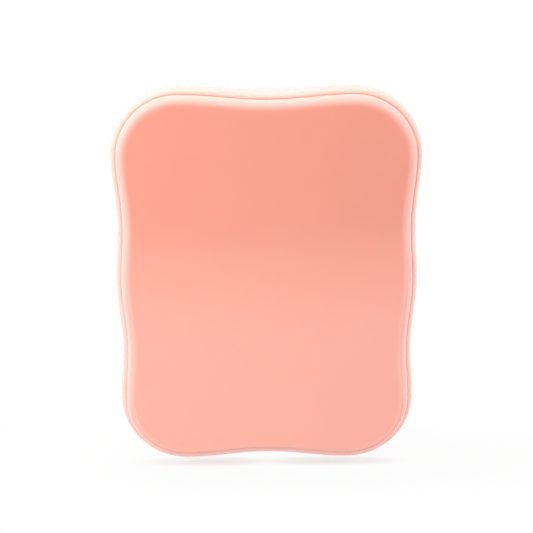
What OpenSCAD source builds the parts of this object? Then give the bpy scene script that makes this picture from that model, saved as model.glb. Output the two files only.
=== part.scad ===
// Wet palette for hobby painting: a shallow tray with wave-edged sides that holds a wet foam pad
// and a sheet for the paint, a tray of dry mixing wells above them, and a plug-in lid with a seal.
// Millimetres, +Z up. The palette lies on its feet at z = 0, centred on the Z axis, its long sides
// along Y.

/* [Outline] */
// Overall width, across the swells next to the corners
body_w = 170; // [150:1:220]
// Overall length
body_l = 220; // [190:1:280]
// Radius of the four corners
corner_r = 38; // [32:0.5:45]
// Depth of each dip in a long side
dip_long = 2.2; // [0.5:0.1:3]
// Depth of each dip in a short side
dip_short = 2.8; // [0.5:0.1:4]
// Dips in each long side
dips_long = 2; // [1:1:3]
// Dips in each short side
dips_short = 1; // [1:1:2]

/* [Base tray] */
// Height of the rim above the underside
base_h = 23; // [21:0.5:30]
// Thickness of the floor
floor_t = 2.2; // [1.8:0.1:3]
// Width of the rim's rounded shoulder
rim_w = 3; // [2.6:0.1:4]
// Height of the rim's rounded shoulder, down to the widest line
shoulder_h = 7.5; // [3:0.5:8]
// Inward lean of the outer wall below the shoulder, in degrees
wall_lean = 16; // [4:1:20]
// Rounding of the lower outer edge
lower_round = 8; // [4:0.5:9]
// Rounding between the floor and the wall inside
inner_round = 3; // [1.5:0.5:4]
// Depth of the inner ledge below the rim
ledge_down = 7; // [6.5:0.5:8]
// Width of the ledge that carries the mixing tray
ledge_w = 2.4; // [1.8:0.1:3]
// Depth of the sunk panel in the underside
panel_d = 0.6; // [0.2:0.1:0.9]
// Distance of the sunk panel from the widest line
panel_in = 24; // [23:1:30]

/* [Feet] */
// Height that a foot stands proud of the underside
foot_h = 1.5; // [1:0.1:3]
// Depth of the pocket that a foot is pressed into
foot_pocket = 0.9; // [0.5:0.1:1.2]
// Width of a foot's band
foot_w = 7; // [5:0.5:8]
// Radius of a foot's centre line, about the corner's centre
foot_path_r = 21; // [19:0.5:23]
// Angle that a foot's centre line covers
foot_sweep = 56; // [30:1:80]

/* [Foam and sheet] */
// Thickness of the wet foam pad
foam_t = 4.5; // [3:0.5:6]
// Channel for water between the foam and the tray's inner rounding
gutter_w = 1.2; // [0.5:0.1:4]
// Thickness of the palette sheet
sheet_t = 0.2; // [0.1:0.05:0.4]
// Foam left bare round the sheet
sheet_margin = 2; // [0:0.5:6]

/* [Lid] */
// Height of the lid above the rim
lid_rise = 4.4; // [4:0.2:8]
// Width of the lid's rounded edge
lid_edge_w = 6.4; // [4:0.2:9]
// Thickness of the lid's plate
lid_t = 2.2; // [1.8:0.1:2.8]
// Rounding inside the lid, between its plate and its skirt
ceiling_round = 2.5; // [2:0.5:4]
// Thickness of the lid's skirt
skirt_t = 2.3; // [2.2:0.1:3]
// Gap between the lid and the rim
lid_gap = 0.4; // [0.3:0.05:0.6]
// Chamfer on the skirt's lower outer edge
lead_in = 0.5; // [0.3:0.1:0.8]

/* [Seal] */
// Height of the seal's band
seal_h = 2.8; // [2.4:0.1:3]
// Depth of the seal's groove in the skirt
groove_d = 1.1; // [0.8:0.1:1.3]
// Height of the groove above the skirt's lower edge
groove_up = 1.2; // [1:0.1:1.4]
// Gap left between the seal's lips and the rim's inner wall
seal_gap = 0.1; // [0.05:0.05:0.2]

/* [Mixing tray] */
// Thickness of the mixing tray
tray_t = 1.4; // [1:0.1:1.8]
// Round wells along each long side
wells = 6; // [3:1:7]
// Radius of a round well
well_r = 10; // [6:0.5:10.5]
// Depth of a round well
well_d = 3.2; // [2:0.1:3.6]
// Distance of the wells' centres from the widest line of a long side
well_in = 25; // [23:1:28]
// Width of a mixing basin
basin_w = 84; // [60:1:90]
// Depth of a mixing basin
basin_d = 2.4; // [1.5:0.1:3.2]
// Corner radius of a mixing basin
basin_r = 12; // [6:1:16]
// Bar between the two basins, and between a basin and a finger notch
basin_bar = 8; // [6:1:12]
// Radius of the finger notches at the ends of the tray
notch_r = 10; // [8:0.5:12]

/* [Hidden] */

// Steps of the corners, of one dip, and of the rounded edges
corner_steps = 14;
dip_steps_long = 12;
dip_steps_short = 16;
edge_steps = 6;
inner_steps = 4;
foot_steps = 16;
$fn = 64;

// Heights above the surface that the palette lies on
under_z = foot_h;
floor_z = under_z + floor_t;
rim_z = under_z + base_h;
shoulder_z = rim_z - shoulder_h;
ledge_z = rim_z - ledge_down;
foam_z = floor_z + foam_t;
plate_z = ledge_z + tray_t;
groove_z = plate_z + groove_up;
lid_z = rim_z + lid_rise;
ceiling_z = lid_z - lid_t;

// Distances inward from the widest line
lid_in = rim_w + lid_gap;
groove_in = lid_in + groove_d;
skirt_in = lid_in + skirt_t;
wall_in = rim_w + ledge_w;
foam_in = wall_in + inner_round + gutter_w;
sheet_in = foam_in + sheet_margin;

// Half lengths of the wave-edged runs between the corners
run_long = body_l / 2 - corner_r;
run_short = body_w / 2 - corner_r;

// One wave-edged run in its own frame: along it, away from the middle, and its outward normal there
function dip(t, depth, dips) = depth * (1 - cos(360 * dips * t)) / 2;
function dip_slope(t, depth, dips, half) = depth * PI * dips * sin(360 * dips * t) / (2 * half);
function run_point(t, half, far, depth, dips) =
    let (m = dip_slope(t, depth, dips, half), size = sqrt(1 + m * m))
    [(2 * t - 1) * half, far - dip(t, depth, dips), m / size, 1 / size];
function run(half, far, depth, dips, steps) =
    [for (i = [0 : steps - 1]) run_point(i / steps, half, far, depth, dips)];
function corner(half, far) =
    [for (i = [0 : corner_steps - 1])
        let (a = 90 * i / corner_steps)
        [half + corner_r * sin(a), far - corner_r + corner_r * cos(a), sin(a), cos(a)]];

// A side's run and the corner after it, clockwise from above, turned to face each of the four ways
function facing(p, side) =
    side == 0 ? [p[0], p[1], p[2], p[3]] :
    side == 1 ? [p[1], -p[0], p[3], -p[2]] :
    side == 2 ? [-p[0], -p[1], -p[2], -p[3]] :
    [-p[1], p[0], -p[3], p[2]];
short_side = concat(
    run(run_short, body_l / 2, dip_short, dips_short, dip_steps_short * dips_short),
    corner(run_short, body_l / 2)
);
long_side = concat(
    run(run_long, body_w / 2, dip_long, dips_long, dip_steps_long * dips_long),
    corner(run_long, body_w / 2)
);
outline = [
    for (side = [0 : 3])
        for (p = side % 2 == 0 ? short_side : long_side) facing(p, side)
];
n_out = len(outline);

// The outline moved inward by a set distance, in the plane and at a height
function contour(inset) = [for (p = outline) [p[0] - inset * p[2], p[1] - inset * p[3]]];
function ring(inset, z) = [for (p = contour(inset)) [p[0], p[1], z]];

// Rounding of a section, as insets and heights: 180 degrees points outward, 270 down
function rounding(inset, z, rx, ry, from, to, steps) =
    [for (i = [0 : steps])
        let (a = from + (to - from) * i / steps)
        [inset + rx * cos(a), z + ry * sin(a)]];

// Faces between two rings, and a fan that closes a ring onto a point
function band(a, b) =
    [for (i = [0 : n_out - 1])
        let (j = (i + 1) % n_out)
        each [
            [a * n_out + i, a * n_out + j, b * n_out + j],
            [a * n_out + i, b * n_out + j, b * n_out + i]
        ]];
function fan(hub, a, turn) =
    [for (i = [0 : n_out - 1])
        let (j = (i + 1) % n_out)
        turn ? [hub, a * n_out + i, a * n_out + j] : [hub, a * n_out + j, a * n_out + i]];

// A body with a flat middle: its section runs out from the middle of one face to that of the other
module swept_shell(section) {
    last = len(section) - 1;
    hub = len(section) * n_out;
    polyhedron(
        points = concat(
            [for (s = section) each ring(s[0], s[1])],
            [[0, 0, section[0][1]], [0, 0, section[last][1]]]
        ),
        faces = concat(
            [for (k = [0 : last - 1]) each band(k, k + 1)],
            fan(hub, 0, false),
            fan(hub + 1, last, true)
        )
    );
}

// A hoop: its section closes on itself
module swept_hoop(section) {
    rings = len(section);
    polyhedron(
        points = [for (s = section) each ring(s[0], s[1])],
        faces = [for (k = [0 : rings - 1]) each band(k, (k + 1) % rings)]
    );
}

module slab(inset, z, height) {
    translate([0, 0, z])
        linear_extrude(height) polygon(contour(inset));
}

// Moves a child to each corner's centre, mirrored so that its first quadrant points outward
module at_corner(x_side, y_side) {
    mirror([x_side < 0 ? 1 : 0, 0, 0])
        mirror([0, y_side < 0 ? 1 : 0, 0])
            translate([run_short, run_long, 0])
                children();
}

// Curved band with round ends, about the corner's centre
module foot_band() {
    half = foot_sweep / 2;
    w = foot_w / 2;
    steps = foot_steps;
    function polar(r, a) = [r * cos(a), r * sin(a)];
    outer_edge = [for (i = [0 : steps]) polar(foot_path_r + w, 45 - half + foot_sweep * i / steps)];
    far_end = [for (i = [1 : steps - 1])
        polar(foot_path_r, 45 + half) + polar(w, 45 + half + 180 * i / steps)];
    inner_edge = [for (i = [0 : steps]) polar(foot_path_r - w, 45 + half - foot_sweep * i / steps)];
    near_end = [for (i = [1 : steps - 1])
        polar(foot_path_r, 45 - half) + polar(w, 225 - half + 180 * i / steps)];
    linear_extrude(foot_h + foot_pocket)
        polygon(concat(outer_edge, far_end, inner_edge, near_end));
}

// Base tray: from the underside out, up the leaning wall and over the shoulder to the rim, then in
// by the ledge to the floor
lean_start = atan(tan(wall_lean) * shoulder_h / rim_w);
lean_from = [rim_w - rim_w * cos(lean_start), shoulder_z - shoulder_h * sin(lean_start)];
lower_z = under_z + lower_round;
lower_in = lean_from[0] + (lean_from[1] - lower_z) * tan(wall_lean) + lower_round / cos(wall_lean);
base_section = concat(
    rounding(lower_in, lower_z, lower_round, lower_round, 270, 180 + wall_lean, edge_steps),
    [lean_from],
    rounding(rim_w, shoulder_z, rim_w, shoulder_h, 180, 90, edge_steps),
    [[rim_w, ledge_z], [wall_in, ledge_z]],
    rounding(
        wall_in + inner_round, floor_z + inner_round, inner_round, inner_round, 180, 270, inner_steps
    )
);

module base_tray() {
    color("#f7a593")
        difference() {
            swept_shell(base_section);
            for (x_side = [-1, 1], y_side = [-1, 1])
                at_corner(x_side, y_side) foot_band();
            slab(panel_in, under_z - 1, panel_d + 1);
        }
}

module foot(x_side, y_side) {
    color("#e8dcd6")
        at_corner(x_side, y_side) foot_band();
}

module hydration_foam() {
    color("#f4efe0")
        slab(foam_in, floor_z, foam_t);
}

module palette_sheet() {
    color("#fbfaf5")
        slab(sheet_in, foam_z, sheet_t);
}

// Lid: from the middle of its ceiling out and down inside the skirt, up its outside by the seal's
// groove, and over the rounded edge to the middle of its face
lid_section = concat(
    rounding(
        skirt_in + ceiling_round, ceiling_z - ceiling_round, ceiling_round, ceiling_round, 90, 180,
        inner_steps
    ),
    [[skirt_in, plate_z], [lid_in + lead_in, plate_z], [lid_in, plate_z + lead_in]],
    [[lid_in, groove_z], [groove_in, groove_z]],
    [[groove_in, groove_z + seal_h], [lid_in, groove_z + seal_h]],
    rounding(lid_in + lid_edge_w, rim_z, lid_edge_w, lid_rise, 180, 90, edge_steps + 1)
);

module lid_cover() {
    color("#f7a593")
        swept_shell(lid_section);
}

// Seal: a band that fills the groove, with two lips towards the rim's inner wall
module lid_seal() {
    lip_in = rim_w + seal_gap;
    tip = seal_h / 12;
    color("#f3d9cf")
        swept_hoop([
            [groove_in, groove_z],
            [lid_in, groove_z],
            [lip_in, groove_z + seal_h / 4 - tip],
            [lip_in, groove_z + seal_h / 4 + tip],
            [lid_in, groove_z + seal_h / 2],
            [lip_in, groove_z + seal_h * 3 / 4 - tip],
            [lip_in, groove_z + seal_h * 3 / 4 + tip],
            [lid_in, groove_z + seal_h],
            [groove_in, groove_z + seal_h]
        ]);
}

// Mixing tray: a plate that lies on the ledge, with round wells and two basins sunk into it
notch_y = body_l / 2 - dip_short - lid_in;
basin_end = notch_y - notch_r - basin_bar;
basin_l = basin_end - basin_bar / 2;
well_pitch = 2 * run_long / (wells - 1);
dish_r = (well_r * well_r + well_d * well_d) / (2 * well_d);

module round_rect(w, l, r) {
    square([w - 2 * r, l], center = true);
    square([w, l - 2 * r], center = true);
    for (x = [-1, 1], y = [-1, 1])
        translate([x * (w / 2 - r), y * (l / 2 - r)]) circle(r);
}

module at_wells() {
    for (x_side = [-1, 1], i = [0 : wells - 1])
        translate([x_side * (body_w / 2 - well_in), (i - (wells - 1) / 2) * well_pitch, plate_z])
            children();
}

module at_basins() {
    for (y_side = [-1, 1])
        translate([0, y_side * (basin_l + basin_bar) / 2, plate_z])
            children();
}

module mixing_tray() {
    color("#fbf8f4")
        difference() {
            union() {
                slab(lid_in, ledge_z, tray_t);
                at_wells()
                    intersection() {
                        translate([0, 0, dish_r - well_d]) sphere(dish_r + tray_t);
                        translate([0, 0, -well_d - tray_t - 1])
                            cylinder(h = well_d + tray_t + 1 - tray_t / 2, r = well_r + 2 * tray_t);
                    }
                at_basins()
                    translate([0, 0, -basin_d - tray_t])
                        linear_extrude(basin_d + tray_t / 2)
                            round_rect(basin_w + 2 * tray_t, basin_l + 2 * tray_t, basin_r + tray_t);
            }
            at_wells()
                translate([0, 0, dish_r - well_d]) sphere(dish_r);
            at_basins()
                translate([0, 0, -basin_d])
                    linear_extrude(basin_d + 1) round_rect(basin_w, basin_l, basin_r);
            for (y_side = [-1, 1])
                translate([0, y_side * notch_y, ledge_z - 1])
                    cylinder(h = tray_t + 2, r = notch_r);
        }
}

base_tray();
foot(-1, -1);  // foot_front_left
foot(1, -1);  // foot_front_right
foot(-1, 1);  // foot_rear_left
foot(1, 1);  // foot_rear_right
hydration_foam();
palette_sheet();
mixing_tray();
lid_cover();
lid_seal();
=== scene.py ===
import math

import bmesh
import bpy
import numpy as np
from mathutils import Matrix, Vector


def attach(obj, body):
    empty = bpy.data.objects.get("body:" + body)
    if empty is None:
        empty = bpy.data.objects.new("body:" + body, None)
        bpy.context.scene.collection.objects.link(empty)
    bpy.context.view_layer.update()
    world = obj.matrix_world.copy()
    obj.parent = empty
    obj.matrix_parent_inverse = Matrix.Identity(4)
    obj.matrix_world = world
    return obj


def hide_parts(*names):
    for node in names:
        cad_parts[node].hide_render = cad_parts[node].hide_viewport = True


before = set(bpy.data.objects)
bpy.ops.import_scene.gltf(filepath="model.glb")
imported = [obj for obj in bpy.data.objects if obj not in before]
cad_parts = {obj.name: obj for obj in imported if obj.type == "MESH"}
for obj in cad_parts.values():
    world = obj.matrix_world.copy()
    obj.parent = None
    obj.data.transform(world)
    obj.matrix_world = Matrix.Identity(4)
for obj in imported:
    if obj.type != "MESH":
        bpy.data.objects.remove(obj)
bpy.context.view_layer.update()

mm = 0.001  # every size below is in millimetres, as in the CAD
print("frame loaded:", ", ".join(sorted(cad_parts)))

# Heights and insets that the pieces share, as the CAD has them
levels = {
    "under": 1.5, "floor": 3.7, "foamTop": 8.2, "widest": 17.0, "ledge": 17.5,
    "plate": 18.9, "rim": 24.5, "ceiling": 26.7,
}
insets = {"rim": 3.0, "lid": 3.4, "wall": 5.4, "skirt": 5.7, "foam": 9.6, "sheet": 11.6}


# Outline and mesh helpers

outlineLook = {
    "width": 170, "length": 220, "cornerRadius": 38,
    "longDip": 2.2, "longDips": 2, "shortDips": 1, "rearDip": 2.8, "frontDip": 3.4,
    "cornerSteps": 30, "longSteps": 52, "shortSteps": 40,
}


def waveRun(half, far, depth, dips, steps):
    points = []
    for i in range(steps):
        t = i / steps
        turn = 2 * math.pi * dips * t
        slope = depth * math.pi * dips * math.sin(turn) / (2 * half)
        size = math.hypot(1, slope)
        y = far - depth * (1 - math.cos(turn)) / 2
        points.append(((2 * t - 1) * half, y, slope / size, 1 / size))
    return points


def waveCorner(half, far, radius, steps):
    points = []
    for i in range(steps):
        a = math.pi / 2 * i / steps
        points.append((half + radius * math.sin(a), far - radius + radius * math.cos(a),
                       math.sin(a), math.cos(a)))
    return points


def waveOutline(look):
    # Points of the widest line with their outward normals, clockwise from above
    r = look["cornerRadius"]
    shortHalf, longHalf = look["width"] / 2 - r, look["length"] / 2 - r
    rearSide, frontSide = [
        waveRun(shortHalf, look["length"] / 2, dip, look["shortDips"], look["shortSteps"])
        + waveCorner(shortHalf, look["length"] / 2, r, look["cornerSteps"])
        for dip in (look["rearDip"], look["frontDip"])
    ]
    longSide = waveRun(longHalf, look["width"] / 2, look["longDip"], look["longDips"],
                       look["longSteps"])
    longSide += waveCorner(longHalf, look["width"] / 2, r, look["cornerSteps"])
    turned = [(x, y, nx, ny) for x, y, nx, ny in rearSide]
    turned += [(y, -x, ny, -nx) for x, y, nx, ny in longSide]
    turned += [(-x, -y, -nx, -ny) for x, y, nx, ny in frontSide]
    turned += [(-y, x, -ny, nx) for x, y, nx, ny in longSide]
    return np.array(turned)


def contour(outline, inset):
    return outline[:, :2] - inset * outline[:, 2:]


def withNormals(points):
    # A closed loop's points with normals that stand square to it, pointing out
    points = np.array(points, float)
    along = np.roll(points, -1, 0) - np.roll(points, 1, 0)
    along /= np.linalg.norm(along, axis=1)[:, None]
    x, y = points.T
    area = np.sum(x * np.roll(y, -1) - np.roll(x, -1) * y)
    side = 1 if area > 0 else -1
    return np.column_stack([points, side * along[:, 1], -side * along[:, 0]])


def arc(inset, z, rx, rz, start, end, steps):
    # Rounding of a section: 180 degrees points outward, 270 down
    turns = [math.radians(start + (end - start) * i / steps) for i in range(steps + 1)]
    return [(inset + rx * math.cos(a), z + rz * math.sin(a)) for a in turns]


def eased(path, steps=4, closed=False):
    # (a, b) is a sharp corner of the path, (a, b, radius) is rounded
    done = []
    count = len(path)
    for i, point in enumerate(path):
        here = Vector(point[:2])
        if len(point) < 3 or (not closed and i in (0, count - 1)):
            done.append(tuple(here))
            continue
        back = (Vector(path[i - 1][:2]) - here).normalized()
        ahead = (Vector(path[(i + 1) % count][:2]) - here).normalized()
        half = back.angle(ahead) / 2
        reach = point[2] / math.tan(half)
        centre = here + (back + ahead).normalized() * (point[2] / math.sin(half))
        first, last = here + back * reach - centre, here + ahead * reach - centre
        sweepAngle = first.angle_signed(last)
        for k in range(steps + 1):
            turned = Matrix.Rotation(-sweepAngle * k / steps, 2) @ first
            done.append(tuple(centre + turned))
    return done


class PieceMesh:
    # Gathers vertices in millimetres and faces, then becomes one object
    def __init__(self):
        self.bm = bmesh.new()

    def ring(self, points, z):
        return [self.bm.verts.new((p[0] * mm, p[1] * mm, z * mm)) for p in points]

    def band(self, a, b):
        n = len(a)
        for i in range(n):
            j = (i + 1) % n
            self.bm.faces.new((a[i], a[j], b[j], b[i]))

    def sweep(self, outline, section, closed=False, capStart=False, capEnd=False):
        rings = [self.ring(contour(outline, inset), z) for inset, z in section]
        for a, b in zip(rings, rings[1:] + (rings[:1] if closed else [])):
            self.band(a, b)
        if capStart:
            self.bm.faces.new(rings[0])
        if capEnd:
            self.bm.faces.new(rings[-1])
        return rings

    def shrinkTo(self, ring, rings, height):
        # Fills a ring with smaller copies of itself, each at the height that the function gives
        outer = np.array([v.co[:2] for v in ring]) / mm
        last = ring
        for k in range(1, rings):
            points = outer * (1 - k / rings)
            fresh = [self.bm.verts.new((x * mm, y * mm, height(x, y) * mm)) for x, y in points]
            self.band(last, fresh)
            last = fresh
        middle = self.bm.verts.new((0, 0, height(0, 0) * mm))
        for i in range(len(last)):
            self.bm.faces.new((last[i], last[(i + 1) % len(last)], middle))

    def fillBetween(self, loops):
        # One flat face between an outer loop and the loops of its holes
        edges = []
        for loop in loops:
            for i in range(len(loop)):
                pair = (loop[i], loop[(i + 1) % len(loop)])
                edges.append(self.bm.edges.get(pair) or self.bm.edges.new(pair))
        bmesh.ops.triangle_fill(self.bm, use_beauty=True, use_dissolve=False, edges=edges)

    def finish(self, name, material, body, slot, nodes, sharp=40):
        bmesh.ops.remove_doubles(self.bm, verts=self.bm.verts, dist=1e-7)
        bmesh.ops.recalc_face_normals(self.bm, faces=self.bm.faces)
        mesh = bpy.data.meshes.new(name)
        self.bm.to_mesh(mesh)
        self.bm.free()
        mesh.shade_smooth()
        mesh.set_sharp_from_angle(angle=math.radians(sharp))
        mesh.materials.append(material)
        obj = bpy.data.objects.new(name, mesh)
        bpy.context.scene.collection.objects.link(obj)
        even = obj.modifiers.new("evenNormals", "WEIGHTED_NORMAL")
        even.keep_sharp = True
        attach(obj, body)
        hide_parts(*nodes)
        return obj


# Material helpers

class Finish:
    # A Principled material with a few named helpers for its texture nodes
    def __init__(self, name, colour, roughness):
        self.material = bpy.data.materials.new(name)
        self.material.use_nodes = True
        self.nodes = self.material.node_tree.nodes
        self.links = self.material.node_tree.links
        self.shader = self.nodes["Principled BSDF"]
        self.shader.inputs["Base Color"].default_value = (*colour, 1)
        self.shader.inputs["Roughness"].default_value = roughness
        self.place = self.nodes.new("ShaderNodeTexCoord").outputs["Object"]

    def texture(self, kind, size, **values):
        # A procedural texture whose features are about size millimetres across
        node = self.nodes.new(kind)
        self.links.new(self.place, node.inputs["Vector"])
        node.inputs["Scale"].default_value = 1 / (size * mm)
        for socket, value in values.items():
            node.inputs[socket].default_value = value
        return node

    def spread(self, source, low, high, fromLow=0.3, fromHigh=0.7):
        node = self.nodes.new("ShaderNodeMapRange")
        self.links.new(source, node.inputs["Value"])
        for socket, value in (("From Min", fromLow), ("From Max", fromHigh),
                              ("To Min", low), ("To Max", high)):
            node.inputs[socket].default_value = value
        return node.outputs["Result"]

    def ramp(self, source, stops):
        node = self.nodes.new("ShaderNodeValToRGB")
        elements = node.color_ramp.elements
        for i, (place, colour) in enumerate(stops):
            element = elements[i] if i < 2 else elements.new(place)
            element.position = place
            element.color = (*colour, 1)
        self.links.new(source, node.inputs["Fac"])
        return node.outputs["Color"]

    def tint(self, source, dark, light):
        self.links.new(self.ramp(source, [(0, dark), (1, light)]), self.shader.inputs["Base Color"])

    def rough(self, source):
        self.links.new(source, self.shader.inputs["Roughness"])

    def bump(self, source, height):
        # Height in millimetres
        node = self.nodes.new("ShaderNodeBump")
        node.inputs["Distance"].default_value = height * mm
        self.links.new(source, node.inputs["Height"])
        self.links.new(node.outputs["Normal"], self.shader.inputs["Normal"])


# Colours are linear; patch, grain and cloud sizes are in millimetres
shellLook = {
    "colour": (0.868, 0.325, 0.24), "shade": 0.985, "cloud": 30,
    "paintedHighlightColour": (0.965, 0.58, 0.528),  # painted highlight on the rounded edges
    "roughness": 0.13, "roughnessSpread": 0.03, "patch": 2.5, "grain": 0.35, "grainHeight": 0.001,
    "depth": 0.35, "depthScale": 4.0, "depthRadius": (1.0, 0.35, 0.2),
}


def shellFinish(name, look, heights):
    # Satin moulded plastic with a fine spark-eroded grain, and a painted highlight: a lighter
    # colour on the rounded edges, set by height
    finish = Finish(name, look["colour"], look["roughness"])
    finish.shader.inputs["Subsurface Weight"].default_value = look["depth"]
    finish.shader.inputs["Subsurface Radius"].default_value = look["depthRadius"]
    finish.shader.inputs["Subsurface Scale"].default_value = look["depthScale"] * mm
    clouds = finish.texture("ShaderNodeTexNoise", look["cloud"], Detail=2.0).outputs["Fac"]
    body = finish.ramp(finish.spread(clouds, 0, 1),
                       [(0, [c * look["shade"] for c in look["colour"]]), (1, look["colour"])])
    across = finish.nodes.new("ShaderNodeSeparateXYZ")
    finish.links.new(finish.place, across.inputs[0])
    low, high = heights[0][0] * mm, heights[-1][0] * mm
    level = finish.spread(across.outputs["Z"], 0, 1, low, high)
    # painted highlight: the share of the lighter colour follows height over the rounded edges
    share = finish.ramp(level, [((z * mm - low) / (high - low), (v, v, v)) for z, v in heights])
    paintedHighlight = finish.nodes.new("ShaderNodeMix")
    paintedHighlight.data_type = "RGBA"
    paintedHighlight.inputs["B"].default_value = (*look["paintedHighlightColour"], 1)
    finish.links.new(share, paintedHighlight.inputs["Factor"])
    finish.links.new(body, paintedHighlight.inputs["A"])
    finish.links.new(paintedHighlight.outputs["Result"], finish.shader.inputs["Base Color"])
    patches = finish.texture("ShaderNodeTexNoise", look["patch"], Detail=4.0).outputs["Fac"]
    half = look["roughnessSpread"] / 2
    finish.rough(finish.spread(patches, look["roughness"] - half, look["roughness"] + half))
    grain = finish.texture("ShaderNodeTexNoise", look["grain"], Detail=2.0).outputs["Fac"]
    finish.bump(grain, look["grainHeight"])
    return finish.material


# Height, and how much of the painted highlight colour shows there
lidFinish = shellFinish("lidPlastic", shellLook, [
    (23.6, 0), (24.4, 0.7), (26.2, 0.75), (28, 0.6), (28.5, 0.38), (28.8, 0.12), (28.9, 0),
])
baseFinish = shellFinish("basePlastic", shellLook, [
    (3, 0), (11, 0.2), (16, 0.62), (20, 0.74), (22.6, 0.68), (23.8, 0.6), (24.5, 0.6),
])


def plainFinish(name, look):
    finish = Finish(name, look["colour"], look["roughness"])
    clouds = finish.texture("ShaderNodeTexNoise", look["patch"], Detail=3.0).outputs["Fac"]
    finish.tint(finish.spread(clouds, 0, 1), look["shade"], look["colour"])
    half = look["roughnessSpread"] / 2
    finish.rough(finish.spread(clouds, look["roughness"] - half, look["roughness"] + half))
    grain = finish.texture("ShaderNodeTexNoise", look["grain"], Detail=2.0).outputs["Fac"]
    finish.bump(grain, look["grainHeight"])
    return finish


print("finishes ready")
widestLine = waveOutline(outlineLook)


# Base tray

baseLook = {
    "shoulder": 7.5, "lean": 16, "lowerRound": 8, "innerRound": 3,
    "panelIn": 24, "panelDepth": 0.6, "panelEdge": 0.2,
    "edge": 0.17, "lip": 0.34, "lipHeight": 0.8, "lipEdge": 0.1,
}


def baseSection(look):
    # From the middle of the underside out, up the wall, over the rim and down to the floor inside
    lean = math.radians(look["lean"])
    start = math.atan(math.tan(lean) * look["shoulder"] / insets["rim"])
    fromIn = insets["rim"] * (1 - math.cos(start))
    fromZ = levels["widest"] - look["shoulder"] * math.sin(start)
    lowerZ = levels["under"] + look["lowerRound"]
    lowerIn = fromIn + (fromZ - lowerZ) * math.tan(lean) + look["lowerRound"] / math.cos(lean)
    edge, wall, inner = look["edge"], insets["wall"], look["innerRound"]
    panelZ = levels["under"] + look["panelDepth"]
    panelIn, panelEdge = look["panelIn"], look["panelEdge"]
    section = eased([(panelIn + 2, panelZ), (panelIn, panelZ, panelEdge),
                     (panelIn, levels["under"], panelEdge), (lowerIn + 2, levels["under"])])
    section += arc(lowerIn, lowerZ, look["lowerRound"], look["lowerRound"], 270,
                   180 + look["lean"], 14)
    section += arc(insets["rim"], levels["widest"], insets["rim"], look["shoulder"],
                   180 + math.degrees(start), 95, 20)
    lipIn, lipZ = insets["rim"] + look["lip"], levels["rim"] - look["lipHeight"]
    lipEdge = look["lipEdge"]
    section += eased([section[-1], (lipIn, levels["rim"], edge), (lipIn, lipZ, lipEdge),
                      (insets["rim"], lipZ - look["lip"], lipEdge),
                      (insets["rim"], levels["ledge"], edge), (wall, levels["ledge"], edge),
                      (wall, levels["floor"] + inner)])[1:-1]
    section += arc(wall + inner, levels["floor"] + inner, inner, inner, 180, 270, 8)
    return section


baseMesh = PieceMesh()
baseMesh.sweep(widestLine, baseSection(baseLook), capStart=True, capEnd=True)
baseShell = baseMesh.finish("baseShell", baseFinish, "base", "shell", ["base_tray"])
print("base tray made:", len(baseShell.data.polygons), "faces")


# Feet

footLook = {
    "centre": (47, 72), "pathRadius": 21, "width": 7, "sweep": 56, "pocketTop": 2.4, "edge": 0.7,
    "colour": (0.80, 0.71, 0.66), "shade": (0.74, 0.64, 0.59), "roughness": 0.62,
    "roughnessSpread": 0.12, "patch": 3, "grain": 0.25, "grainHeight": 0.01,
}


def footOutline(look, xSide, ySide):
    # A curved band with round ends, about the centre of the palette's corner
    half, w, r = look["sweep"] / 2, look["width"] / 2, look["pathRadius"]

    def polar(radius, degrees):
        a = math.radians(degrees)
        return np.array([radius * math.cos(a), radius * math.sin(a)])

    points = [polar(r + w, 45 - half + look["sweep"] * i / 28) for i in range(29)]
    points += [polar(r, 45 + half) + polar(w, 45 + half + 180 * i / 16) for i in range(1, 16)]
    points += [polar(r - w, 45 + half - look["sweep"] * i / 28) for i in range(29)]
    points += [polar(r, 45 - half) + polar(w, 225 - half + 180 * i / 16) for i in range(1, 16)]
    sides = np.array([xSide, ySide])
    return withNormals([(p + look["centre"]) * sides for p in points])


footFinish = plainFinish("footRubber", footLook).material
for name, node, xSide, ySide in (
    ("footFrontLeft", "foot_front_left", -1, -1), ("footFrontRight", "foot_front_right", 1, -1),
    ("footRearLeft", "foot_rear_left", -1, 1), ("footRearRight", "foot_rear_right", 1, 1),
):
    band = footOutline(footLook, xSide, ySide)
    footMesh = PieceMesh()
    edge = footLook["edge"]
    section = arc(edge, edge, edge, edge, 270, 180, 6) + [(0, footLook["pocketTop"])]
    footMesh.sweep(band, section, capStart=True, capEnd=True)
    footMesh.finish(name, footFinish, "base", "foot_pad", [node])
print("feet made")


# Foam pad

foamLook = {
    "edge": 0.9, "lowEdge": 0.4, "ripple": 0.12, "rings": 28,
    # shade is the painted shade inside the pores
    "colour": (0.86, 0.79, 0.62), "shade": (0.70, 0.62, 0.46), "roughness": 0.85,
    "roughnessSpread": 0.1, "patch": 14, "grain": 0.4, "grainHeight": 0.05,
    "cell": 1.1, "cellDepth": 0.35, "poreSpan": (0.05, 0.42),
    "fineCell": 0.44, "fineShare": 0.35, "finePoreSpan": (0.05, 0.5),
}


def foamHeight(x, y):
    wave = math.sin(x / 13 + 1.3 * math.sin(y / 21)) * math.sin(y / 17 + 0.8 * math.cos(x / 19))
    return levels["foamTop"] - foamLook["ripple"] * (0.5 + 0.5 * wave)


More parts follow.
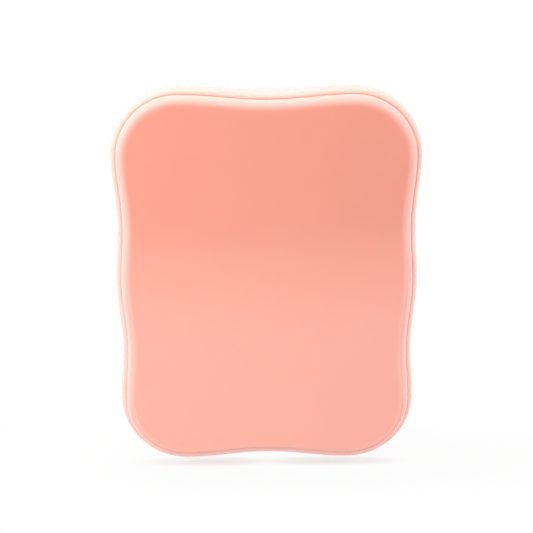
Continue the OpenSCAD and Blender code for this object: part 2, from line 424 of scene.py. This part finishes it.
def foamFinish(look):
    # Open-cell foam: round pores with painted shade inside them, with finer ones between them
    finish = plainFinish("openCellFoam", look)
    cells = finish.texture("ShaderNodeTexVoronoi", look["cell"], Randomness=1.0)
    pores = finish.spread(cells.outputs["Distance"], 1, 0, *look["poreSpan"])
    fine = finish.texture("ShaderNodeTexVoronoi", look["fineCell"]).outputs["Distance"]
    finePores = finish.spread(fine, look["fineShare"], 0, *look["finePoreSpan"])
    both = finish.nodes.new("ShaderNodeMath")
    both.operation = "ADD"
    finish.links.new(pores, both.inputs[0])
    finish.links.new(finePores, both.inputs[1])
    # painted shade: the pores go from the foam colour to the darker shade colour
    finish.tint(both.outputs[0], look["colour"], look["shade"])
    finish.bump(finish.spread(both.outputs[0], 1, 0, 0, 1.3), look["cellDepth"])
    return finish.material


foamMesh = PieceMesh()
low, edge = foamLook["lowEdge"], foamLook["edge"]
bottom, top = levels["floor"], levels["foamTop"] - foamLook["ripple"]
section = arc(insets["foam"] + low, bottom + low, low, low, 270, 180, 3)
section += arc(insets["foam"] + edge, top - edge, edge, edge, 180, 90, 6)
rings = foamMesh.sweep(widestLine, section, capStart=True)
foamMesh.shrinkTo(rings[-1], foamLook["rings"], foamHeight)
foamPad = foamMesh.finish("foamPad", foamFinish(foamLook), "foam", "foam", ["hydration_foam"])
print("foam pad made")


# Palette sheet

sheetLook = {
    "thick": 0.2, "lift": 0.35, "flat": (146.8, 196.8), "area": 27696, "rings": 34,
    "colour": (0.86, 0.84, 0.78), "shade": (0.81, 0.79, 0.72), "roughness": 0.55,
    "roughnessSpread": 0.15, "patch": 9, "grain": 0.5, "grainHeight": 0.012,
}


def sheetHeight(x, y):
    # Damp paper: it lies on the foam and lifts a little in long soft ripples
    wave = math.sin(x / 16 + 0.9 * math.sin(y / 30)) * math.cos(y / 26 + 0.6 * math.sin(x / 22))
    return levels["foamTop"] + sheetLook["thick"] + sheetLook["lift"] * max(0.0, wave) ** 2


def sheetUnderside(x, y):
    return sheetHeight(x, y) - sheetLook["thick"]


sheetMesh = PieceMesh()
edgeLine = contour(widestLine, insets["sheet"])
topRing, lowRing = [
    [sheetMesh.bm.verts.new((x * mm, y * mm, height(x, y) * mm)) for x, y in edgeLine]
    for height in (sheetHeight, sheetUnderside)
]
sheetMesh.band(topRing, lowRing)
sheetMesh.shrinkTo(topRing, sheetLook["rings"], sheetHeight)
sheetMesh.shrinkTo(lowRing, sheetLook["rings"], sheetUnderside)
paperSheet = sheetMesh.finish("paperSheet", plainFinish("dampPaper", sheetLook).material, "sheet",
                              "sheet", ["palette_sheet"])
print("palette sheet made")


# Mixing tray

trayLook = {
    "thick": 1.4, "edge": 0.35, "wells": 6, "wellRadius": 10, "wellDepth": 3.2, "wellX": 60,
    "wellPitch": 28.8, "wellEdge": 1.6, "wellLowEdge": 1.2,
    "basinWidth": 84, "basinLength": 81.8, "basinRadius": 12, "basinDepth": 2.4, "basinY": 44.9,
    "basinEdges": (0.8, 1.3), "basinLowEdges": (0.5, 1.1),  # at the rim and at the floor
    "notchY": 103.8, "notchRadius": 10, "notchCorner": 1.2,
    "colour": (0.87, 0.845, 0.82), "shade": (0.855, 0.83, 0.805), "roughness": 0.24,
    "roughnessSpread": 0.06, "patch": 20, "grain": 0.6, "grainHeight": 0.002,
}


def notchedOutline(look):
    # The tray's edge with a half-round finger notch in each end, its corners rounded
    edgeLine = contour(widestLine, insets["lid"])
    reach = look["notchRadius"]
    path = []
    inside = False
    for x, y in edgeLine:
        side = 1 if y > 0 else -1
        away = math.hypot(x, y - side * look["notchY"])
        if away < reach:
            if not inside:  # clockwise from above, so the top notch is met from its left
                cornerY = y
                path.append((-side * reach, cornerY, look["notchCorner"]))
                turns = np.radians(np.linspace(10, 170, 29))
                path += [(-side * reach * math.cos(a),
                          side * (look["notchY"] - reach * math.sin(a))) for a in turns]
                path.append((side * reach, cornerY, look["notchCorner"]))
            inside = True
        else:
            if away > reach + 2 * look["notchCorner"]:
                path.append((x, y))
            inside = False
    return withNormals(eased(path, 5, closed=True))


def circleOutline(x, y, radius, steps=56):
    turns = np.linspace(0, 2 * math.pi, steps, endpoint=False)
    return np.column_stack([x + radius * np.cos(turns), y + radius * np.sin(turns),
                            np.cos(turns), np.sin(turns)])


def roundRectOutline(x, y, width, length, radius, steps=10):
    points = []
    for quarter, (sx, sy) in enumerate(((1, 1), (-1, 1), (-1, -1), (1, -1))):
        for i in range(steps + 1):
            a = math.radians(90 * quarter + 90 * i / steps)
            points.append((x + sx * (width / 2 - radius) + radius * math.cos(a),
                           y + sy * (length / 2 - radius) + radius * math.sin(a),
                           math.cos(a), math.sin(a)))
    return np.array(points)


def dishSections(look):
    # A round well from above and from below, as insets from its rim
    r, depth, thick, plate = look["wellRadius"], look["wellDepth"], look["thick"], levels["plate"]
    ball = (r * r + depth * depth) / (2 * depth)
    middle = plate - depth + ball

    def bowl(radius, rimTurn):
        # Down the ball from inside its rounded edge to beside its lowest point
        return [(r - radius * math.sin(a), middle - radius * math.cos(a))
                for a in np.linspace(rimTurn * 0.72, math.radians(1.5), 12)]

    rimTurn = math.asin(r / ball)
    upper = [(-2, plate), (0, plate, look["wellEdge"])] + bowl(ball, rimTurn)
    outer = ball + thick
    lowTurn = math.acos((middle - levels["ledge"]) / outer)
    lowIn = r - outer * math.sin(lowTurn)
    lower = [(lowIn - 2, levels["ledge"]), (lowIn, levels["ledge"], look["wellLowEdge"])]
    lower += bowl(outer, lowTurn)
    return eased(upper, 5)[1:], eased(lower, 5)[1:]


trayMesh = PieceMesh()
edge, plate, ledge, thick = trayLook["edge"], levels["plate"], levels["ledge"], trayLook["thick"]
rim = arc(edge, plate - edge, edge, edge, 90, 180, 4)
rim += arc(edge, ledge + edge, edge, edge, 180, 270, 4)
rings = trayMesh.sweep(notchedOutline(trayLook), rim)
topLoops, lowLoops = [rings[0]], [rings[-1]]
wellTop, wellLow = dishSections(trayLook)
for side in (-1, 1):
    for i in range(trayLook["wells"]):
        y = (i - (trayLook["wells"] - 1) / 2) * trayLook["wellPitch"]
        well = circleOutline(side * trayLook["wellX"], y, trayLook["wellRadius"])
        topLoops.append(trayMesh.sweep(well, wellTop, capEnd=True)[0])
        lowLoops.append(trayMesh.sweep(well, wellLow, capEnd=True)[0])
deep = plate - trayLook["basinDepth"]
(high, low), (highUnder, lowUnder) = trayLook["basinEdges"], trayLook["basinLowEdges"]
basinTop = eased([(-3, plate), (0, plate, high), (0, deep, low), (5, deep)], 5)[1:-1]
basinLow = eased([(-thick - 3, ledge), (-thick, ledge, highUnder),
                  (-thick, deep - thick, lowUnder), (5, deep - thick)], 5)[1:-1]
for side in (-1, 1):
    basin = roundRectOutline(0, side * trayLook["basinY"], trayLook["basinWidth"],
                             trayLook["basinLength"], trayLook["basinRadius"])
    topLoops.append(trayMesh.sweep(basin, basinTop, capEnd=True)[0])
    lowLoops.append(trayMesh.sweep(basin, basinLow, capEnd=True)[0])
trayMesh.fillBetween(topLoops)
trayMesh.fillBetween(lowLoops)
trayPlate = trayMesh.finish("trayPlate", plainFinish("trayPlastic", trayLook).material, "tray",
                            "tray_white", ["mixing_tray"])
print("mixing tray made:", len(trayPlate.data.polygons), "faces")


# Lid

lidLook = {
    "edgeWidth": 6.3, "rise": 4.4, "ceilingRound": 2.5, "leadIn": 0.5, "leadEdge": 0.2,
    "skirtEdge": 0.3, "grooveIn": 4.5, "grooveLow": 20.1, "grooveHigh": 22.9, "grooveEdge": 0.15,
}


def lidSection(look):
    # From the face over the rounded edge, down the skirt with its groove and up to the ceiling
    outer, skirt, plate = insets["lid"], insets["skirt"], levels["plate"]
    groove, high, low = look["grooveIn"], look["grooveHigh"], look["grooveLow"]
    soft, lead, r = look["grooveEdge"], look["leadIn"], look["ceilingRound"]
    section = arc(outer + look["edgeWidth"], levels["rim"], look["edgeWidth"], look["rise"],
                  90, 180, 24)
    section += eased([
        (outer, levels["rim"]), (outer, high, soft), (groove, high, soft), (groove, low, soft),
        (outer, low, soft), (outer, plate + lead, look["leadEdge"]),
        (outer + lead, plate, look["leadEdge"]), (skirt, plate, look["skirtEdge"]),
        (skirt, levels["ceiling"] - r),
    ])[1:-1]
    section += arc(skirt + r, levels["ceiling"] - r, r, r, 180, 90, 8)
    return section


lidMesh = PieceMesh()
lidMesh.sweep(widestLine, lidSection(lidLook), capStart=True, capEnd=True)
lidShell = lidMesh.finish("lidShell", lidFinish, "lid", "shell", ["lid_cover"])
print("lid made:", len(lidShell.data.polygons), "faces")


# Seal

sealLook = {
    "in": 4.5, "lipIn": 3.08, "low": 20.1, "high": 22.9, "lipEdge": 0.2, "valley": 0.15,
    "colour": (0.88, 0.66, 0.58), "shade": (0.84, 0.61, 0.53), "roughness": 0.42,
    "roughnessSpread": 0.08, "patch": 12, "grain": 0.3, "grainHeight": 0.004,
}


def sealSection(look):
    # A band with two soft lips that lean on the rim
    root, low, high = insets["lid"], look["low"], look["high"]
    lip, tip, quarter = look["lipEdge"], look["lipIn"], (high - low) / 4
    return eased([
        (look["in"], low), (root, low), (tip, low + quarter, lip),
        (root + look["valley"], low + 2 * quarter, lip), (tip, low + 3 * quarter, lip),
        (root, high), (look["in"], high),
    ], 4, closed=True)


sealMesh = PieceMesh()
sealMesh.sweep(widestLine, sealSection(sealLook), closed=True)
sealMesh.finish("sealBand", plainFinish("sealSilicone", sealLook).material, "lid", "seal",
                ["lid_seal"])
print("seal made")


# Floor and world

stageLook = {
    "size": 6.0, "colour": (0.89, 0.85, 0.845), "ambient": 0.29,
    # Metres: the floor keeps its own shade under the palette, and in two soft strips before it the
    # white glow is held back to make a painted shadow line from the floor's own shade
    "underCentre": (0, -0.006), "underCore": (0.047, 0.078), "underReach": (0.027, 0.036),
    "stripCentre": (0.038, -0.1247), "stripSize": (0.022, 0.0016),
    # How far from a strip, in its own sizes, and how white the floor is to the eye there
    "white": [(0.2, 0.22), (1.0, 0.45), (2.4, 0.9), (20, 1.0)],
}


def whiteToTheEye(nodes, links):
    # 1 for camera, mirror and glass rays, which see the backdrop white
    path = nodes.new("ShaderNodeLightPath")
    first, both = nodes.new("ShaderNodeMath"), nodes.new("ShaderNodeMath")
    first.operation = both.operation = "MAXIMUM"
    links.new(path.outputs["Is Camera Ray"], first.inputs[0])
    links.new(path.outputs["Is Glossy Ray"], first.inputs[1])
    links.new(first.outputs[0], both.inputs[0])
    links.new(path.outputs["Is Transmission Ray"], both.inputs[1])
    return both.outputs[0]


def floorFinish(look):
    material = bpy.data.materials.new("paleFloor")
    material.use_nodes = True
    nodes, links = material.node_tree.nodes, material.node_tree.links
    nodes.clear()

    def maths(operation, first, second=None, kind="ShaderNodeMath", result="Value"):
        node = nodes.new(kind)
        node.operation = operation
        for socket, value in zip(node.inputs, (first, second)):
            if isinstance(value, bpy.types.NodeSocket):
                links.new(value, socket)
            elif value is not None:
                socket.default_value = value
        return node.outputs[result]

    def vectors(operation, first, second=None):
        result = "Value" if operation == "LENGTH" else "Vector"
        return maths(operation, first, second, "ShaderNodeVectorMath", result)

    place = nodes.new("ShaderNodeTexCoord").outputs["Object"]
    middle = vectors("SUBTRACT", place, (*look["underCentre"], 0))
    outside = vectors("SUBTRACT", vectors("ABSOLUTE", middle), (*look["underCore"], 0))
    under = nodes.new("ShaderNodeMapRange")
    under.interpolation_type = "SMOOTHSTEP"
    links.new(vectors("LENGTH", vectors("MAXIMUM", outside, (0, 0, 0))), under.inputs["Value"])
    for socket, distance in zip(("From Min", "From Max"), look["underReach"]):
        under.inputs[socket].default_value = distance

    shift = look["size"] + 1  # keeps y above nought, so that only x is mirrored
    folded = vectors("ABSOLUTE", vectors("ADD", place, (0, shift, 0)))
    # painted shadow placement: two strips in front of the palette, mirrored in x, where the floor's
    # own shade shows
    centre, size = look["stripCentre"], look["stripSize"]
    strip = vectors("SUBTRACT", folded, (centre[0], centre[1] + shift, 0))
    away = vectors("LENGTH", vectors("DIVIDE", strip, (*size, 1)))
    farthest = look["white"][-1][0]
    reach = nodes.new("ShaderNodeMapRange")
    reach.inputs["From Max"].default_value = farthest
    links.new(away, reach.inputs["Value"])
    clear = nodes.new("ShaderNodeValToRGB")
    clear.color_ramp.interpolation = "EASE"
    for i, (distance, value) in enumerate(look["white"]):
        stop = clear.color_ramp.elements[i] if i < 2 else clear.color_ramp.elements.new(1)
        stop.position = distance / farthest
        stop.color = (value, value, value, 1)
    links.new(reach.outputs["Result"], clear.inputs["Fac"])

    least = maths("MINIMUM", under.outputs["Result"], clear.outputs["Color"])
    share = maths("MULTIPLY", least, whiteToTheEye(nodes, links))
    paint, glow = nodes.new("ShaderNodeBsdfDiffuse"), nodes.new("ShaderNodeEmission")
    paint.inputs["Color"].default_value = (*look["colour"], 1)
    glow.inputs["Color"].default_value = (1, 1, 1, 1)
    both, out = nodes.new("ShaderNodeMixShader"), nodes.new("ShaderNodeOutputMaterial")
    links.new(share, both.inputs["Fac"])
    links.new(paint.outputs[0], both.inputs[1])
    links.new(glow.outputs[0], both.inputs[2])
    links.new(both.outputs[0], out.inputs["Surface"])
    return material


floorMesh = bpy.data.meshes.new("paleFloor")
side = stageLook["size"]
corners = [(-side, -side, 0), (side, -side, 0), (side, side, 0), (-side, side, 0)]
floorMesh.from_pydata(corners, [], [(0, 1, 2, 3)])
floorMesh.materials.append(floorFinish(stageLook))
paleFloor = bpy.data.objects.new("paleFloor", floorMesh)
bpy.context.scene.collection.objects.link(paleFloor)

world = bpy.data.worlds.new("studio")
bpy.context.scene.world = world
world.use_nodes = True
nodes, links = world.node_tree.nodes, world.node_tree.links
room = nodes["Background"]
room.inputs["Color"].default_value = (1, 1, 1, 1)
level = nodes.new("ShaderNodeMapRange")
level.inputs["To Min"].default_value = stageLook["ambient"]
level.inputs["To Max"].default_value = 1.0
links.new(whiteToTheEye(nodes, links), level.inputs["Value"])
links.new(level.outputs["Result"], room.inputs["Strength"])


# Lamps

lampLook = {
    # name: position, aim, width and height of the panel, radiance, and what it lights
    "keyPanel": ((-0.15, 0.78, 0.26), (0, 0, 0.02), (1.1, 0.46), 4.1, "surface"),
    "leftPanel": ((-0.52, 0.00, 0.15), (0, 0, 0.02), (0.9, 0.26), 1.7, "surface"),
    "upperPanel": ((-0.38, 0.03, 0.40), (0, 0, 0.02), (0.4, 0.36), 1.55, "surface"),
    "rightPanel": ((0.72, 0.00, 0.12), (0, 0, 0.02), (1.1, 0.20), 4.9, "surface"),
    "nearPanel": ((0.00, -0.62, 0.72), (0, 0, 0.02), (1.4, 0.62), 0.84, "surface"),
    "highPanel": ((0.00, -0.916, 0.829), (0, -0.916, 0), (1.6, 1.370), 1.3, "gloss"),
    "lowerPanel": ((0.00, -0.949, 0.820), (0, -0.949, 0), (1.6, 1.302), 0.8, "gloss"),
}
for name, (position, aim, size, radiance, lights) in lampLook.items():
    lamp = bpy.data.lights.new(name, "AREA")
    lamp.shape = "RECTANGLE"
    lamp.size, lamp.size_y = size
    lamp.energy = 4 * size[0] * size[1] * radiance
    lampObject = bpy.data.objects.new(name, lamp)
    bpy.context.scene.collection.objects.link(lampObject)
    lampObject.location = position
    lampObject.visible_glossy = lights != "surface"
    lampObject.visible_diffuse = lights != "gloss"
    away = Vector(position) - Vector(aim)
    lampObject.rotation_euler = away.to_track_quat("Z", "Y").to_euler()
print("floor, world and lamps ready")


# Camera

cameraLook = {
    "position": (-6.186, 204.382, 603.100), "aim": (-0.198, 10.424, 24.5), "roll": -0.155,
    "lens": 73.925, "sensor": 36.0,
}


def aimCamera(look):
    camera = bpy.data.cameras.new("mainCamera")
    camera.lens, camera.sensor_width = look["lens"], look["sensor"]
    camera.clip_start, camera.clip_end = 0.01, 50
    cameraObject = bpy.data.objects.new("mainCamera", camera)
    bpy.context.scene.collection.objects.link(cameraObject)
    position, aim = Vector(look["position"]) * mm, Vector(look["aim"]) * mm
    back = (position - aim).normalized()
    right = Vector((0, 1, 0)).cross(back).normalized()  # +Y is up in the frame
    up = back.cross(right)
    turn = Matrix((right, up, back)).transposed().to_4x4()
    roll = Matrix.Rotation(math.radians(look["roll"]), 4, "Z")
    cameraObject.matrix_world = Matrix.Translation(position) @ turn @ roll
    bpy.context.scene.camera = cameraObject


aimCamera(cameraLook)
bpy.context.scene.view_settings.view_transform = "Standard"

bpy.context.view_layer.update()
